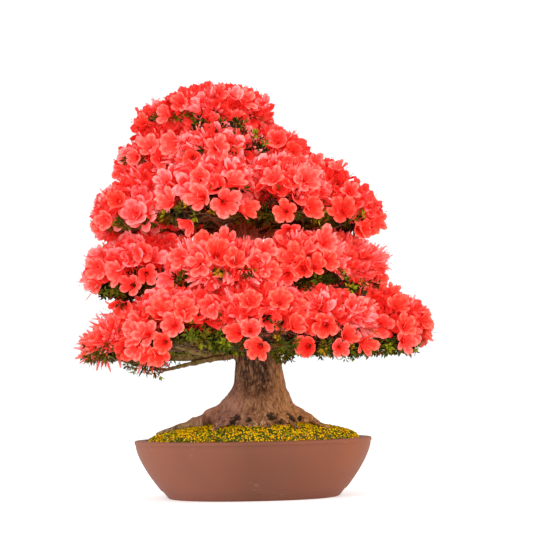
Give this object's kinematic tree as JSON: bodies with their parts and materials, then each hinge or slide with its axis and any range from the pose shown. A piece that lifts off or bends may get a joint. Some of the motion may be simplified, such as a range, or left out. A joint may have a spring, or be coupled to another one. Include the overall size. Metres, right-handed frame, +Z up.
{
  "type": "azalea bonsai in a pot",
  "caption": "Flowering azalea bonsai with a flared trunk, boughs and clipped pads of blossom in five tiers, in an oval unglazed pot.",
  "frame": {"origin": "middle of the flat underside of the pot, on the surface that the pot stands on", "axes": "+Z up; +X to the right along the pot's long side, seen from the front of the tree; +Y to the back"},
  "size_m": [0.6131, 0.4909, 0.7146],
  "materials": {
    "clay": "matte",
    "moss": "matte",
    "bark": "matte",
    "blossom": "matte",
    "leaf": "satin"
  },
  "bodies": {
    "root": {"pot": "clay", "moss_soil": "moss", "trunk": "bark", "bough_low_left": "bark", "bough_low_left_tip": "bark", "bough_low_front_left": "bark", "bough_low_front": "bark", "bough_low_front_right": "bark", "bough_low_right": "bark", "bough_low_back_right": "bark", "bough_low_back": "bark", "bough_low_back_left": "bark", "bough_mid_left": "bark", "bough_mid_front": "bark", "bough_mid_front_right": "bark", "bough_mid_right": "bark", "bough_mid_back_right": "bark", "bough_mid_back_left": "bark", "bough_high_left": "bark", "bough_high_front": "bark", "bough_high_front_right": "bark", "bough_high_right": "bark", "bough_high_back": "bark", "bough_crown_left": "bark", "bough_crown_front": "bark", "bough_crown_right": "bark", "bough_crown_back": "bark", "pad_low_left": "blossom", "pad_low_left_tip": "blossom", "pad_low_front_left": "blossom", "pad_low_front": "blossom", "pad_low_front_right": "blossom", "pad_low_right": "blossom", "pad_low_back_right": "blossom", "pad_low_back": "blossom", "pad_low_back_left": "blossom", "pad_mid_left": "blossom", "pad_mid_front": "blossom", "pad_mid_front_right": "blossom", "pad_mid_right": "blossom", "pad_mid_back_right": "blossom", "pad_mid_back_left": "blossom", "pad_high_left": "blossom", "pad_high_front": "blossom", "pad_high_front_right": "blossom", "pad_high_right": "blossom", "pad_high_back": "blossom", "pad_crown_left": "blossom", "pad_crown_front": "blossom", "pad_crown_right": "blossom", "pad_crown_back": "blossom", "pad_apex": "blossom"}
  },
  "joints": []
}
